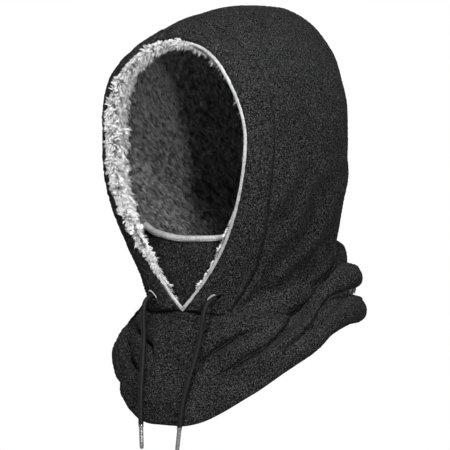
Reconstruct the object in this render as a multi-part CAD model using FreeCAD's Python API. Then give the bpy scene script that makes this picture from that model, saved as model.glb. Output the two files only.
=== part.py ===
import FreeCAD, Part
import math
import os

# Hooded fleece balaclava with a drawcord face opening, a mouth panel and a bib.
# +X is the wearer's left, -Y the way the face looks and +Z up. All sizes are mm.
# Heights are worked out above the front of the hem, and place() moves them to the
# origin: the point inside the hood's crown where the wearer's head touches it.

V = FreeCAD.Vector

# Overall heights above the front of the hem
CROWN_TOP = 416.0
CROWN_CONTACT = 408.0
DOME_BASE = 300.0

# Hood, as horizontal sections about a point MID behind the ear line
EAR_HALF_WIDTH = 112.0
WAIST_HALF_WIDTH = 82.0
FRONT_REACH = 103.0
WAIST_FRONT_REACH = 80.0
BACK_REACH = 120.0
WAIST_BACK_REACH = 112.0
MID = 10.0
CROWN_SHIFT = 36.0

# Face opening and the drawcord casing around it, as seen from the front
EYE_LEVEL = 286.0
RIM_HALF_WIDTH = 91.0
RIM_TOP = 98.0
RIM_DROP = 172.4
SEAM_HALF_WIDTH = 108.0
SEAM_PLANE = -53.0
SEAM_DROP = 176.0
SEAM_FOOT = 50.0
CASING_BULGE = 3.0
FACING_REACH = 1.45
FACING_STEP = 33.0
FACING_BULGE = 5.0

# Cloth
FLEECE = 2.0
PLUSH = 4.0
PLY_GAP = 0.5
BUTT_GAP = 0.15
PIPING = 3.0
STITCH_WIDTH = 1.0
STITCH_HEIGHT = 0.5
STITCH_LIFT = 0.4

# Neck seam, bib and hem
NECK_SEAM = 110.0
NECK_SEAM_BACK_RISE = 45.0
HEM_BACK_RISE = 98.0
HEM_HALF_WIDTH = 124.0
HEM_FRONT_REACH = 106.0
HEM_BACK_REACH = 136.0

# Mouth panel, a curved sheet across the lower third of the opening
MOUTH_FRONT = -62.0
MOUTH_FOOT_FRONT = -56.0
MOUTH_CURVE = 31.0
MOUTH_HALF_WIDTH = 84.0
MOUTH_TOP = 186.0
MOUTH_TOP_RISE = 10.0
MOUTH_FOOT = 108.0
MOUTH_CLEARANCE = 12.5
BINDING_HEIGHT = 5.0
BINDING_SPAN = 0.97
BINDING_THICK = 1.2

# Drawcord
CORD = 5.2
CORD_LINE = 0.55
CORD_DEPTH = 2.6
SLIT_TURN = 0.912
SLIT_LENGTH = 14.0
SLIT_HEIGHT = 8.0
WELT_WIDTH = 2.0
WELT_THICK = 1.0
WELT_STAND = 0.3
AGLET_LENGTH = 23.0
AGLET_RADIUS = 2.2

# The left tail's route from its buttonhole down over the bib; the right one mirrors it
TAIL_ROUTE = [
    (41.0, -66.0, 126.7),
    (40.6, -74.5, 124.8),
    (40.0, -80.8, 118.2),
    (38.8, -83.4, 106.0),
    (36.9, -84.4, 88.0),
    (34.1, -88.8, 68.0),
    (30.9, -95.0, 47.5),
    (28.0, -99.9, 27.5),
    (26.2, -102.2, 9.5),
    (25.2, -102.8, -1.5),
]


def smooth(low, high, x):
    t = min(max((x - low) / (high - low), 0.0), 1.0)
    return t * t * (3 - 2 * t)


def lerp(a, b, t):
    return a + (b - a) * t


def place(x, y, z):
    return V(x, y, z - CROWN_CONTACT)


def dome(rise, power):
    """How wide the dome still is at this share of its height."""
    return (1 - rise**power) ** (1 / power)


def section(z):
    """The hood at one height: half width, middle, reach to front and back, front squareness."""
    rise = min(max((z - DOME_BASE) / (CROWN_TOP - DOME_BASE), 0.0), 0.9999)
    half = lerp(WAIST_HALF_WIDTH, EAR_HALF_WIDTH, smooth(95, 270, z)) * dome(rise, 1.9)
    front = lerp(WAIST_FRONT_REACH, FRONT_REACH, smooth(110, 280, z)) * dome(rise, 3.6)
    back = lerp(WAIST_BACK_REACH, BACK_REACH, smooth(140, 230, z)) * dome(rise, 2.4)
    middle = MID + CROWN_SHIFT * rise**6
    square = 2.3 + 1.7 * smooth(120, 235, z) - 2.0 * smooth(330, 400, z)
    return half, middle, front, back, square


def back_square(z):
    return 2.05 + 0.5 * smooth(330, 405, z)


def level(p, inset=0.0):
    """1 on the hood's outer surface, less inside it."""
    half, middle, front, back, square = section(p.z)
    if p.z >= CROWN_TOP or half <= inset:
        return 9.0
    reach, power = (back, back_square(p.z)) if p.y > middle else (front, square)
    if reach <= inset:
        return 9.0
    return abs(p.x / (half - inset)) ** power + abs((p.y - middle) / (reach - inset)) ** power


def outward(p):
    """The surface's outward normal."""
    step = 0.2
    slope = V(
        level(p + V(step, 0, 0)) - level(p - V(step, 0, 0)),
        level(p + V(0, step, 0)) - level(p - V(0, step, 0)),
        level(p + V(0, 0, step)) - level(p - V(0, 0, step)),
    )
    return slope.normalize()


def onto(p):
    """p moved onto the surface, level below the dome and away from its centre inside it."""
    centre = V(0, MID, min(p.z, DOME_BASE))
    ray = p - centre
    low, high = 0.2, 2.0
    for _ in range(40):
        middle = (low + high) / 2
        if level(centre + ray * middle) < 1:
            low = middle
        else:
            high = middle
    return centre + ray * low


def on_front(x, z):
    half, middle, front, _, square = section(z)
    inside = max(1 - abs(x / half) ** square, 0.0)
    return V(x, middle - front * inside ** (1 / square), z)


def rim(turn):
    """The opening's edge seen from the front: turn is 0 at the top and 2 at the V below the chin."""
    if turn < 1:
        angle = turn * math.pi / 2
        return RIM_HALF_WIDTH * math.sin(angle), EYE_LEVEL + RIM_TOP * math.cos(angle)
    drop = turn - 1
    return RIM_HALF_WIDTH * (1 - drop**2.05), EYE_LEVEL - RIM_DROP * drop


def seam(turn):
    """The casing's outer seam, in the same way; it lies in a plane and ends on the neck seam."""
    if turn < 1:
        angle = turn * math.pi / 2
        low, high = 90.0, 130.0
        for _ in range(40):
            radius = (low + high) / 2
            x, z = radius * math.sin(angle), EYE_LEVEL + radius * math.cos(angle)
            if level(V(x, SEAM_PLANE, z)) < 1:
                low = radius
            else:
                high = radius
        return low * math.sin(angle), EYE_LEVEL + low * math.cos(angle)
    drop = turn - 1
    return lerp(SEAM_HALF_WIDTH, SEAM_FOOT, drop**2.1), EYE_LEVEL - SEAM_DROP * drop


def band(turn, across):
    """A point of the band round the opening: across is 0 on the rim, 1 on the seam and more behind it."""
    side = -1 if turn < 0 else 1
    turn = abs(turn)
    rim_x, rim_z = rim(turn)
    seam_x, seam_z = seam(turn)
    t = min(across, 1.0)
    p = on_front(side * lerp(rim_x, seam_x, t), lerp(rim_z, seam_z, t))
    if across > 1:
        p = onto(p + V(0, (across - 1) * FACING_STEP, 0))
    return p


def inset(p, depth):
    return p - outward(p) * depth


def casing_lift(across):
    return CASING_BULGE * math.sin(math.pi * min(max(across, 0), 1)) ** 0.8


def facing_depth(across):
    return FLEECE + PLY_GAP + FACING_BULGE * math.sin(math.pi * across / FACING_REACH) ** 2


def grid(point, us, vs):
    return [[place(*point(u, v)) for v in vs] for u in us]


def face_through(rows):
    surface = Part.BSplineSurface()
    surface.interpolate(rows)
    return surface


def steps(low, high, count):
    return [lerp(low, high, i / (count - 1)) for i in range(count)]


def solid_between(outer, inner, us, vs):
    """A closed sheet of cloth between two surfaces with the same parameters."""
    tops = face_through(grid(outer, us, vs))
    feet = face_through(grid(inner, us, vs))
    faces = [tops.toShape(), feet.toShape()]
    for a, b in (
        (tops.uIso(tops.bounds()[0]), feet.uIso(feet.bounds()[0])),
        (tops.uIso(tops.bounds()[1]), feet.uIso(feet.bounds()[1])),
        (tops.vIso(tops.bounds()[2]), feet.vIso(feet.bounds()[2])),
        (tops.vIso(tops.bounds()[3]), feet.vIso(feet.bounds()[3])),
    ):
        faces.append(Part.makeRuledSurface(a.toShape(), b.toShape()))
    shell = Part.Shell(faces)
    shell.sewShape()
    solid = Part.Solid(shell)
    if solid.Volume < 0:
        solid.reverse()
    return solid


def save(name, shape):
    good = shape.isValid() and all(s.Volume > 0 for s in shape.Solids)
    box = shape.BoundBox
    print(
        f"{name:24s} {'ok ' if good else 'BAD'} {shape.Volume / 1000:8.2f} cm3"
        f"  x {box.XMin:.0f}..{box.XMax:.0f}"
        f"  y {box.YMin:.0f}..{box.YMax:.0f}"
        f"  z {box.ZMin:.0f}..{box.ZMax:.0f}"
    )
    shape.exportStep(f"parts/{name}.step")
    return shape


def mirrored(shape):
    return shape.mirror(V(0, 0, 0), V(1, 0, 0))


# Hood side panels -----------------------------------------------------------


def round_neck(angle):
    """The neck seam at an angle from the front, on the hood's surface."""
    height = NECK_SEAM + NECK_SEAM_BACK_RISE * smooth(60, 160, abs(math.degrees(angle)))
    return onto(V(80 * math.sin(angle), MID - 80 * math.cos(angle), height))


def back_profile(height):
    return onto(V(BUTT_GAP, BACK_REACH, height))


def top_profile(angle):
    """The centre line over the crown, by its angle up from straight back."""
    reach = V(BUTT_GAP, 90 * math.cos(angle), 90 * math.sin(angle))
    return onto(V(0, MID, DOME_BASE) + reach)


def side_patch(front_across):
    """The half of the hood behind one line of the band, spanned between its four edges."""
    foot = band(2, front_across)
    head = band(0, front_across)
    foot_angle = math.atan2(foot.x, MID - foot.y)
    head_angle = math.atan2(head.z - DOME_BASE, head.y - MID)
    back_foot = round_neck(math.pi)

    def bottom(u):
        p = round_neck(lerp(foot_angle, math.pi, u))
        return V(max(p.x, BUTT_GAP), p.y, p.z)

    def top(u):
        return top_profile(lerp(head_angle, 0, u))

    def front(v):
        p = band(2 * (1 - v), front_across)
        return V(max(p.x, BUTT_GAP), p.y, p.z)

    def back(v):
        return back_profile(lerp(back_foot.z, DOME_BASE, v))

    def point(u, v):
        sides = front(v) * (1 - u) + back(v) * u
        ends = bottom(u) * (1 - v) + top(u) * v
        foot_corners = front(0) * (1 - u) + back(0) * u
        head_corners = front(1) * (1 - u) + back(1) * u
        p = onto(sides + ends - foot_corners * (1 - v) - head_corners * v)
        return V(max(p.x, BUTT_GAP), p.y, p.z)

    return point


def hood_panel(front_across, depth, thickness):
    patch = side_patch(front_across)

    def at(extra):
        def point(u, v):
            p = inset(patch(u, v), depth + extra)
            return V(max(p.x, BUTT_GAP), p.y, p.z)

        return point

    return solid_between(at(0), at(thickness), steps(0, 1, 22), steps(0.004, 1, 26))


# Band round the opening -----------------------------------------------------


def band_strip(low, high, outer_depth, thickness, columns):
    """A strip along the whole band, from one foot of the V over the top to the other."""

    def at(extra):
        return lambda turn, across: inset(band(turn, across), outer_depth(across) + extra)

    turns = steps(-1.997, 1.997, 75)
    return solid_between(at(0), at(thickness), turns, steps(low, high, columns))


def stadium(length, height, thick):
    """A flat round-ended plate in the XY plane, lying along X."""
    straight = (length - height) / 2
    radius = height / 2
    arcs = [
        Part.LineSegment(V(-straight, -radius, 0), V(straight, -radius, 0)).toShape(),
        Part.Arc(V(straight, -radius, 0), V(straight + radius, 0, 0), V(straight, radius, 0)).toShape(),
        Part.LineSegment(V(straight, radius, 0), V(-straight, radius, 0)).toShape(),
        Part.Arc(V(-straight, radius, 0), V(-straight - radius, 0, 0), V(-straight, -radius, 0)).toShape(),
    ]
    return Part.Face(Part.Wire(arcs)).extrude(V(0, 0, thick))


def at_slit(shape, lift):
    """A plate moved to the left slit: its thickness outward and its length rising outward."""
    centre = band(1 + SLIT_TURN, CORD_LINE)
    out = outward(centre)
    centre = centre + out * (casing_lift(CORD_LINE) + lift)
    along = V(1, 0, 0.35)
    along = (along - out * along.dot(out)).normalize()
    up = out.cross(along)
    matrix = FreeCAD.Matrix(
        along.x, up.x, out.x, centre.x,
        along.y, up.y, out.y, centre.y,
        along.z, up.z, out.z, centre.z - CROWN_CONTACT,
        0, 0, 0, 1,
    )  # fmt: skip
    moved = shape.copy()
    moved.transformShape(matrix)
    return moved


# Cord -----------------------------------------------------------------------


def cord_tube(route, diameter, name):
    """Straight runs joined by tangent arcs, swept with a round section."""
    points = [place(*p) for p in route]
    edges = []
    start = points[0]
    radii = []
    for before, corner, after in zip(points, points[1:], points[2:]):
        into = (corner - before).normalize()
        away = (after - corner).normalize()
        turn = into.getAngle(away)
        shorter = min((corner - before).Length, (after - corner).Length)
        cut = 0.45 * shorter
        radius = cut / math.tan(turn / 2)
        radii.append(radius)
        a = corner - into * cut
        b = corner + away * cut
        bisector = (away - into).normalize()
        centre = corner + bisector * (radius / math.cos(turn / 2))
        middle = centre - bisector * radius
        edges.append(Part.LineSegment(start, a).toShape())
        edges.append(Part.Arc(a, middle, b).toShape())
        start = b
    edges.append(Part.LineSegment(start, points[-1]).toShape())
    path = Part.Wire(edges)
    heading = (points[1] - points[0]).normalize()
    ring = Part.Wire(Part.Circle(points[0], heading, diameter / 2).toShape())
    tube = path.makePipeShell([ring], True, True)
    expected = math.pi * diameter**2 / 4 * path.Length
    print(
        f"{name}: length {path.Length:.1f}, radii {min(radii):.0f} to {max(radii):.0f},"
        f" volume {tube.Volume / expected:.4f} of section times length"
    )
    return tube


def aglet(route):
    """The tip crimped round the cord's end: a round-ended tube in line with the last run."""
    end = place(*route[-1])
    way = (end - place(*route[-2])).normalize()
    barrel = Part.makeCylinder(AGLET_RADIUS, AGLET_LENGTH, end, way)
    edge = [e for e in barrel.Edges if abs((e.BoundBox.Center - end).Length - AGLET_LENGTH) < 0.5]
    return barrel.makeFillet(1.2, edge)


# Mouth panel ----------------------------------------------------------------


def mouth_y(x, z):
    front = lerp(MOUTH_FOOT_FRONT, MOUTH_FRONT, smooth(MOUTH_FOOT, 165, z))
    return front + MOUTH_CURVE * (x / MOUTH_HALF_WIDTH) ** 2


def mouth_reach(z):
    """How far the panel reaches to each side before it meets the facing."""
    low, high = 5.0, 100.0
    for _ in range(40):
        x = (low + high) / 2
        if level(V(x, mouth_y(x, z), z), MOUTH_CLEARANCE) < 1:
            low = x
        else:
            high = x
    return low


def mouth_top(share):
    return MOUTH_TOP + MOUTH_TOP_RISE * share**2


def mouth_sheet(depth, thickness):
    def at(back):
        def point(share, v):
            z = lerp(MOUTH_FOOT, mouth_top(share), v)
            x = share * mouth_reach(z)
            return V(x, mouth_y(x, z) + back, z)

        return point

    return solid_between(at(depth), at(depth + thickness), steps(-1, 1, 25), steps(0, 1, 12))


def mouth_strip(low, high, depth, thickness):
    """A strip along the panel's upper edge, between two heights above it."""

    def at(back):
        def point(x, rise):
            share = x / mouth_reach(MOUTH_TOP)
            return V(x, mouth_y(x, MOUTH_TOP) + back, mouth_top(share) + rise)

        return point

    span = BINDING_SPAN * mouth_reach(MOUTH_TOP)
    xs = steps(-span, span, 25)
    return solid_between(at(depth), at(depth + thickness), xs, steps(low, high, 3))


# Neck and bib ---------------------------------------------------------------


def neck(angle, drop):
    """The bib's outer surface: angle from the front, drop 0 at the neck seam and 1 at the hem."""
    turn = abs(math.degrees(angle))
    top = round_neck(angle)
    hem_z = HEM_BACK_RISE * smooth(8, 118, turn)
    reach = HEM_FRONT_REACH if turn < 90 else HEM_BACK_REACH
    hem = V(HEM_HALF_WIDTH * math.sin(angle), MID - reach * math.cos(angle), hem_z)
    power = lerp(1.4, 0.7, smooth(15, 60, turn))
    flare = math.sin(math.pi / 2 * drop) ** power
    return V(
        lerp(top.x, hem.x, flare),
        lerp(top.y, hem.y, flare),
        lerp(top.z - 0.6, hem.z, drop),
    )


def neck_normal(angle, drop):
    da = 0.01
    dd = 0.01 if drop < 0.5 else -0.01
    along = neck(angle + da, drop) - neck(angle - da, drop)
    down = (neck(angle, drop + dd) - neck(angle, drop)) * (1 if dd > 0 else -1)
    return along.cross(down).normalize() * -1


def neck_ring(low, high, depth, thickness, columns):
    """A ring of the neck, sewn shut at the centre back."""

    def at(extra):
        def point(angle, drop):
            return neck(angle, drop) - neck_normal(angle, drop) * (depth + extra)

        return point

    shut = math.pi - 0.003
    return solid_between(at(0), at(thickness), steps(-shut, shut, 61), steps(low, high, columns))


# Stitching ------------------------------------------------------------------


def centre_stitching():
    """A raised row of thread over the seam between the two side panels."""
    front = band(0, 1.06)
    head_angle = math.atan2(front.z - DOME_BASE, front.y - MID)
    drop = DOME_BASE - round_neck(math.pi).z - 2

    def spine(run, x):
        if run < 1:
            angle = lerp(head_angle, 0, run)
            return onto(V(x, MID + 90 * math.cos(angle), DOME_BASE + 90 * math.sin(angle)))
        return onto(V(x, BACK_REACH, DOME_BASE - (run - 1) * drop))

    def at(lift):
        return lambda run, x: inset(spine(run, x), -lift)

    xs = steps(-STITCH_WIDTH / 2, STITCH_WIDTH / 2, 3)
    return solid_between(at(STITCH_LIFT + STITCH_HEIGHT), at(STITCH_LIFT), steps(0, 2, 60), xs)


# The pieces -----------------------------------------------------------------


def hood():
    left = hood_panel(1.02, 0, FLEECE)
    save("hood_left_panel", left)
    save("hood_right_panel", mirrored(left))
    lining = hood_panel(FACING_REACH + 0.02, FLEECE + PLY_GAP, PLUSH)
    save("hood_lining_left", lining)
    save("hood_lining_right", mirrored(lining))
    save("hood_centre_stitching", centre_stitching())


def face_opening():
    slit = at_slit(stadium(SLIT_LENGTH, SLIT_HEIGHT, 8), -6)
    casing = band_strip(0.05, 0.99, lambda w: -casing_lift(w), FLEECE, 9)
    save("face_casing", casing.cut(slit).cut(mirrored(slit)))
    save("plush_facing", band_strip(0.05, FACING_REACH, facing_depth, PLUSH, 15))

    def rim_depth(across):
        return (FLEECE + PLY_GAP + PLUSH - PIPING) / 2

    save("face_piping", band_strip(-0.07, 0.02, rim_depth, PIPING, 3))

    def thread_depth(across):
        return -casing_lift(across) - STITCH_LIFT - STITCH_HEIGHT

    save("casing_stitching", band_strip(0.93, 0.96, thread_depth, STITCH_HEIGHT, 3))


def drawcord():
    """The cord's hidden length in the casing, its two tails, their tips and buttonholes."""
    slit_turn = 1 + SLIT_TURN
    hidden = []
    for turn in steps(-slit_turn + 0.02, slit_turn - 0.02, 25):
        p = inset(band(turn, CORD_LINE), CORD_DEPTH)
        hidden.append((p.x, p.y, p.z))
    save("drawcord_in_casing", cord_tube(hidden, CORD, "drawcord_in_casing"))
    tail = cord_tube(TAIL_ROUTE, CORD, "cord_left")
    save("cord_left", tail)
    save("cord_right", mirrored(tail))
    tip = aglet(TAIL_ROUTE)
    save("aglet_left", tip)
    save("aglet_right", mirrored(tip))
    ring = stadium(SLIT_LENGTH + 2 * WELT_WIDTH, SLIT_HEIGHT + 2 * WELT_WIDTH, WELT_THICK)
    ring = ring.cut(stadium(SLIT_LENGTH, SLIT_HEIGHT, WELT_THICK))
    welt = at_slit(ring, PLY_GAP + WELT_STAND)
    save("buttonhole_left", welt)
    save("buttonhole_right", mirrored(welt))


def mouth():
    save("mouth_panel", mouth_sheet(0, FLEECE))
    save("mouth_panel_lining", mouth_sheet(FLEECE + PLY_GAP, FLEECE))
    fold = BINDING_THICK + PLY_GAP
    front = mouth_strip(PLY_GAP - BINDING_HEIGHT, PLY_GAP + BINDING_THICK, -fold, BINDING_THICK)
    across = 2 * FLEECE + PLY_GAP
    roof = mouth_strip(PLY_GAP, PLY_GAP + BINDING_THICK, -PLY_GAP, across + 2 * PLY_GAP)
    rear = mouth_strip(PLY_GAP - BINDING_HEIGHT, PLY_GAP + BINDING_THICK, across + PLY_GAP, BINDING_THICK)
    save("mouth_panel_binding", front.fuse([roof, rear]))
    row = mouth_strip(-3.6, -2.8, -fold - STITCH_LIFT - STITCH_HEIGHT, STITCH_HEIGHT)
    save("binding_stitching", row)


def bib():
    save("neck_panel", neck_ring(0, 1, 0, FLEECE, 12))
    save("neck_lining", neck_ring(0, 0.99, FLEECE + PLY_GAP, PLUSH, 12))
    thread = -STITCH_LIFT - STITCH_HEIGHT
    save("neck_seam_stitching", neck_ring(0.03, 0.04, thread, STITCH_HEIGHT, 3))
    save("hem_stitching", neck_ring(0.89, 0.9, thread, STITCH_HEIGHT, 3))


def main():
    os.makedirs("parts", exist_ok=True)
    hood()
    face_opening()
    drawcord()
    mouth()
    bib()


main()
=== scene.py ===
import bpy
import math
import numpy as np
from mathutils import Matrix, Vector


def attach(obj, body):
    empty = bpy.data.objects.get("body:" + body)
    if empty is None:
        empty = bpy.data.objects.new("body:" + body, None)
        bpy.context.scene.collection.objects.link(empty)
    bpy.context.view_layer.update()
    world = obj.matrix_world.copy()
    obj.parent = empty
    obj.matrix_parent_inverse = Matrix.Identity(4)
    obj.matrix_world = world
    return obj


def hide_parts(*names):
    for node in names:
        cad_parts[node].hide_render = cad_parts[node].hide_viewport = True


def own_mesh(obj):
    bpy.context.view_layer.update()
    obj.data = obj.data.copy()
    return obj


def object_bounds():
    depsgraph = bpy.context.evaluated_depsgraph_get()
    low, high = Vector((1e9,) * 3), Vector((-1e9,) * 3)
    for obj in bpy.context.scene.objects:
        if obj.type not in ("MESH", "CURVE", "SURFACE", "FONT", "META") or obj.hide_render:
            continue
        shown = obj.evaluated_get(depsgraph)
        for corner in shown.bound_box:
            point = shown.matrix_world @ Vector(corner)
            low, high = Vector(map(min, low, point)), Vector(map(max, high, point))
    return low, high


# Hooded fleece balaclava with a plush-faced drawcord opening, a mouth panel and a bib.
# Cloth is worked out in millimetres above the front of the hem, as the CAD is, and
# to_frame() turns it into metres in the row frame. +X is the wearer's left, -Y the front.

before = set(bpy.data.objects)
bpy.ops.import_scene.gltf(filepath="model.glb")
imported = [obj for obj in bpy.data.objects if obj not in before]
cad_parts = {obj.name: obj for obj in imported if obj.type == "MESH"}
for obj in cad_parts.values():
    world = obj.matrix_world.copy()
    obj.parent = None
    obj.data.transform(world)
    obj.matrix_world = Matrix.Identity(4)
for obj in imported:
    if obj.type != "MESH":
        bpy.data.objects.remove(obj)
cad_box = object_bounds()

# Hood, as horizontal sections
CROWN_TOP = 416.0
CROWN_CONTACT = 408.0
DOME_BASE = 300.0
EAR_HALF_WIDTH = 112.0
WAIST_HALF_WIDTH = 82.0
FRONT_REACH = 103.0
WAIST_FRONT_REACH = 80.0
BACK_REACH = 120.0
WAIST_BACK_REACH = 112.0
MID = 10.0
CROWN_SHIFT = 36.0

# Face opening and the band round it
EYE_LEVEL = 286.0
RIM_HALF_WIDTH = 91.0
RIM_TOP = 98.0
RIM_DROP = 172.4
SEAM_HALF_WIDTH = 108.0
SEAM_PLANE = -53.0
SEAM_DROP = 176.0
SEAM_FOOT = 50.0
CASING_BULGE = 3.0
FACING_REACH = 1.45
FACING_STEP = 33.0
FACING_BULGE = 5.0
CORD_LINE = 0.55
SLIT_TURN = 1.912

# Cloth
FLEECE = 2.0
PLUSH = 4.0
PLY_GAP = 0.5

# Neck, bib and hem
NECK_SEAM = 110.0
NECK_SEAM_BACK_RISE = 45.0
HEM_BACK_RISE = 98.0
HEM_HALF_WIDTH = 124.0
HEM_FRONT_REACH = 106.0
HEM_BACK_REACH = 136.0
HEM_SIDE_LIFT = 7.0

# Mouth panel
MOUTH_FRONT = -62.0
MOUTH_FOOT_FRONT = -56.0
MOUTH_CURVE = 31.0
MOUTH_HALF_WIDTH = 84.0
MOUTH_TOP = 186.0
MOUTH_TOP_RISE = 10.0
MOUTH_FOOT = 108.0
MOUTH_CLEARANCE = 12.5

# Drawcord tails
CORD = 0.0052


# Surfaces of the cloth, for whole arrays of points ---------------------------


def smooth(low, high, x):
    t = np.clip((x - low) / (high - low), 0.0, 1.0)
    return t * t * (3 - 2 * t)


def lerp(a, b, t):
    return a + (b - a) * t


def vec(x, y, z):
    return np.stack(np.broadcast_arrays(x, y, z), axis=-1).astype(float)


def unit(v):
    return v / np.maximum(np.linalg.norm(v, axis=-1, keepdims=True), 1e-9)


def to_frame(p):
    return (p - np.array([0.0, 0.0, CROWN_CONTACT])) / 1000.0


def dome(rise, power):
    return (1 - rise**power) ** (1 / power)


def section(z):
    rise = np.clip((z - DOME_BASE) / (CROWN_TOP - DOME_BASE), 0.0, 0.9999)
    half = lerp(WAIST_HALF_WIDTH, EAR_HALF_WIDTH, smooth(95, 270, z)) * dome(rise, 1.9)
    front = lerp(WAIST_FRONT_REACH, FRONT_REACH, smooth(110, 280, z)) * dome(rise, 3.6)
    back = lerp(WAIST_BACK_REACH, BACK_REACH, smooth(140, 230, z)) * dome(rise, 2.4)
    middle = MID + CROWN_SHIFT * rise**6
    square = 2.3 + 1.7 * smooth(120, 235, z) - 2.0 * smooth(330, 400, z)
    return half, middle, front, back, square


def back_square(z):
    return 2.05 + 0.5 * smooth(330, 405, z)


def level(p, inset=0.0):
    """1 on the hood's outer surface, less inside it."""
    x, y, z = p[..., 0], p[..., 1], p[..., 2]
    half, middle, front, back, square = section(z)
    behind = y > middle
    reach = np.where(behind, back, front)
    power = np.where(behind, back_square(z), square)
    across = np.abs(x) / np.maximum(half - inset, 1e-3)
    along = np.abs(y - middle) / np.maximum(reach - inset, 1e-3)
    value = np.minimum(across, 50) ** power + np.minimum(along, 50) ** power
    return np.where((z >= CROWN_TOP) | (half <= inset) | (reach <= inset), 9.0, value)


def outward(p):
    """The hood surface's outward normals."""
    step = 0.2 * np.eye(3)
    return unit(np.stack([level(p + s) - level(p - s) for s in step], axis=-1))


def onto(p):
    """p moved onto the surface, level below the dome and away from its centre inside it."""
    centre = vec(0.0, MID, np.minimum(p[..., 2], DOME_BASE))
    ray = p - centre
    low = np.full(p.shape[:-1], 0.2)
    high = np.full(p.shape[:-1], 2.0)
    for _ in range(36):
        middle = (low + high) / 2
        inside = level(centre + ray * middle[..., None]) < 1
        low = np.where(inside, middle, low)
        high = np.where(inside, high, middle)
    return centre + ray * low[..., None]


def on_front(x, z):
    half, middle, front, _, square = section(z)
    inside = np.maximum(1 - np.abs(x / half) ** square, 0.0)
    return vec(x, middle - front * inside ** (1 / square), z)


def rim(turn):
    """The opening's edge seen from the front: turn is 0 at the top and 2 at the V."""
    angle = np.minimum(turn, 1) * math.pi / 2
    drop = np.maximum(turn - 1, 0)
    x = np.where(turn < 1, RIM_HALF_WIDTH * np.sin(angle), RIM_HALF_WIDTH * (1 - drop**2.05))
    z = EYE_LEVEL + np.where(turn < 1, RIM_TOP * np.cos(angle), -RIM_DROP * drop)
    return x, z


def seam(turn):
    """The band's outer seam, in the same way."""
    angle = np.minimum(turn, 1) * math.pi / 2
    low = np.full(np.shape(turn), 90.0)
    high = np.full(np.shape(turn), 130.0)
    for _ in range(36):
        radius = (low + high) / 2
        p = vec(radius * np.sin(angle), SEAM_PLANE, EYE_LEVEL + radius * np.cos(angle))
        inside = level(p) < 1
        low = np.where(inside, radius, low)
        high = np.where(inside, high, radius)
    drop = np.maximum(turn - 1, 0)
    x = np.where(turn < 1, low * np.sin(angle), lerp(SEAM_HALF_WIDTH, SEAM_FOOT, drop**2.1))
    z = EYE_LEVEL + np.where(turn < 1, low * np.cos(angle), -SEAM_DROP * drop)
    return x, z


def band(turn, across):
    """The band round the opening: across is 0 on the rim, 1 on the seam and more behind it."""
    turn, across = np.broadcast_arrays(np.asarray(turn, float), np.asarray(across, float))
    side = np.where(turn < 0, -1.0, 1.0)
    rim_x, rim_z = rim(np.abs(turn))
    seam_x, seam_z = seam(np.abs(turn))
    t = np.minimum(across, 1.0)
    p = on_front(side * lerp(rim_x, seam_x, t), lerp(rim_z, seam_z, t))
    behind = onto(p + vec(0.0, np.maximum(across - 1, 0) * FACING_STEP, 0.0))
    return np.where((across > 1)[..., None], behind, p)


def round_neck(angle):
    """The neck seam at an angle from the front, on the hood's surface."""
    turn = np.abs(np.degrees(angle))
    height = NECK_SEAM + NECK_SEAM_BACK_RISE * smooth(60, 160, turn)
    return onto(vec(80 * np.sin(angle), MID - 80 * np.cos(angle), height))


def side_patch(u, v, front_across):
    """The wearer's left half of the hood behind one line of the band, spanned between its edges."""
    foot = band(2.0, front_across)
    head = band(0.0, front_across)
    foot_angle = math.atan2(foot[0], MID - foot[1])
    head_angle = math.atan2(head[2] - DOME_BASE, head[1] - MID)
    back_foot = round_neck(np.array(math.pi))

    def bottom(t):
        return round_neck(lerp(foot_angle, math.pi, t))

    def top(t):
        angle = lerp(head_angle, 0, t)
        return onto(vec(0.15, MID + 90 * np.cos(angle), DOME_BASE + 90 * np.sin(angle)))

    def front(t):
        return band(2 * (1 - t), front_across)

    def back(t):
        return onto(vec(0.15, BACK_REACH, lerp(back_foot[2], DOME_BASE, t)))

    zero, one = np.array(0.0), np.array(1.0)
    u1, v1 = u[..., None], v[..., None]
    sides = front(v) * (1 - u1) + back(v) * u1
    ends = bottom(u) * (1 - v1) + top(u) * v1
    foot_corners = front(zero) * (1 - u1) + back(zero) * u1
    head_corners = front(one) * (1 - u1) + back(one) * u1
    p = onto(sides + ends - foot_corners * (1 - v1) - head_corners * v1)
    p[..., 0] = np.maximum(p[..., 0], 0.15)
    return p


def neck(angle, drop):
    """The bib's outer surface: angle from the front, drop 0 at the neck seam and 1 at the hem."""
    turn = np.abs(np.degrees(angle))
    top = round_neck(angle)
    reach = np.where(turn < 90, HEM_FRONT_REACH, HEM_BACK_REACH)
    hem_x = HEM_HALF_WIDTH * np.sin(angle)
    hem_y = MID - reach * np.cos(angle)
    hem_z = HEM_BACK_RISE * smooth(8, 118, turn)
    hem_z = hem_z + HEM_SIDE_LIFT * smooth(10, 45, turn) * (1 - smooth(85, 120, turn))
    power = lerp(1.4, 0.7, smooth(15, 60, turn))
    flare = np.sin(math.pi / 2 * np.maximum(drop, 0)) ** power
    return vec(
        lerp(top[..., 0], hem_x, flare),
        lerp(top[..., 1], hem_y, flare),
        lerp(top[..., 2] - 0.6, hem_z, drop),
    )


def mouth_y(x, z):
    front = lerp(MOUTH_FOOT_FRONT, MOUTH_FRONT, smooth(MOUTH_FOOT, 165, z))
    return front + MOUTH_CURVE * (x / MOUTH_HALF_WIDTH) ** 2


def mouth_reach(z):
    low = np.full(np.shape(z), 5.0)
    high = np.full(np.shape(z), 100.0)
    for _ in range(36):
        x = (low + high) / 2
        inside = level(vec(x, mouth_y(x, z), z), MOUTH_CLEARANCE) < 1
        low = np.where(inside, x, low)
        high = np.where(inside, high, x)
    return low


def mouth_top(share):
    return MOUTH_TOP + MOUTH_TOP_RISE * share**2


# Folds and nap ---------------------------------------------------------------


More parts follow.
